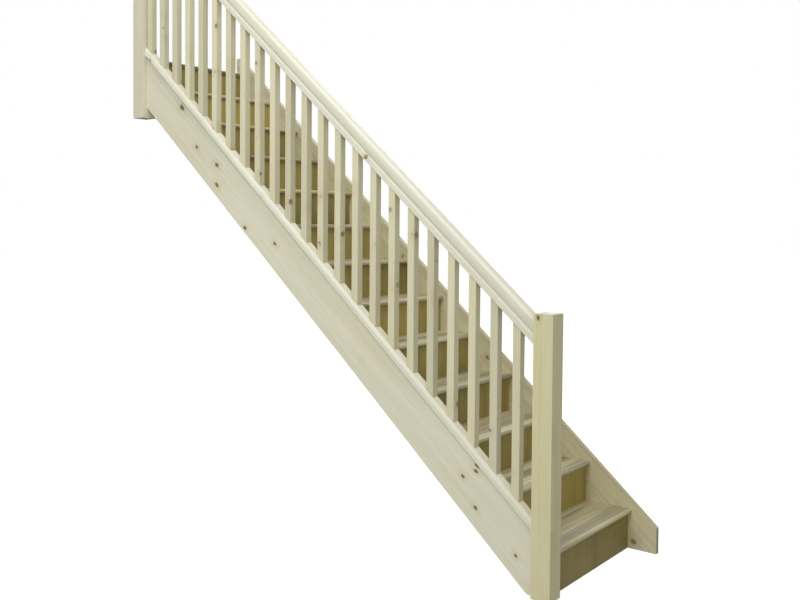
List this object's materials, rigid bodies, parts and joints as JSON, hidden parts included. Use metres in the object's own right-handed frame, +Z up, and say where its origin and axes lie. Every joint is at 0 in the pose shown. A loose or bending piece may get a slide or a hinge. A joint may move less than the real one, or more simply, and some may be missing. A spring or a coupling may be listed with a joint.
{
  "type": "pine staircase",
  "caption": "Straight closed-string pine flight with newel posts, a moulded handrail, square spindles on one side and a wall string on the other.",
  "frame": {"origin": "wall face of the wall string, at floor level, in line with the face of the first riser", "axes": "+X to the wall, +Y up the flight on plan, +Z up"},
  "size_m": [0.903, 2.996, 3.5596],
  "materials": {
    "tread_boards": "bare planed pine boards",
    "riser_plywood": "bare softwood plywood",
    "string_pine": "bare planed pine",
    "rail_pine": "bare planed and moulded pine",
    "newel_pine": "bare planed pine",
    "spindle_pine": "bare planed pine",
    "wedge_wood": "sawn softwood"
  },
  "bodies": {
    "root": {"tread_01": "tread_boards", "tread_02": "tread_boards", "tread_03": "tread_boards", "tread_04": "tread_boards", "tread_05": "tread_boards", "tread_06": "tread_boards", "tread_07": "tread_boards", "tread_08": "tread_boards", "tread_09": "tread_boards", "tread_10": "tread_boards", "tread_11": "tread_boards", "tread_12": "tread_boards", "landing_nosing": "tread_boards", "riser_01": "riser_plywood", "riser_02": "riser_plywood", "riser_03": "riser_plywood", "riser_04": "riser_plywood", "riser_05": "riser_plywood", "riser_06": "riser_plywood", "riser_07": "riser_plywood", "riser_08": "riser_plywood", "riser_09": "riser_plywood", "riser_10": "riser_plywood", "riser_11": "riser_plywood", "riser_12": "riser_plywood", "riser_13": "riser_plywood", "wall_string": "string_pine", "outer_string": "string_pine", "base_rail": "rail_pine", "handrail": "rail_pine", "bottom_newel": "newel_pine", "top_newel": "newel_pine", "spindles": "spindle_pine", "base_rail_infills": "rail_pine", "handrail_infills": "rail_pine", "wall_string_wedges": "wedge_wood", "outer_string_wedges": "wedge_wood", "glue_blocks": "wedge_wood"}
  },
  "joints": []
}
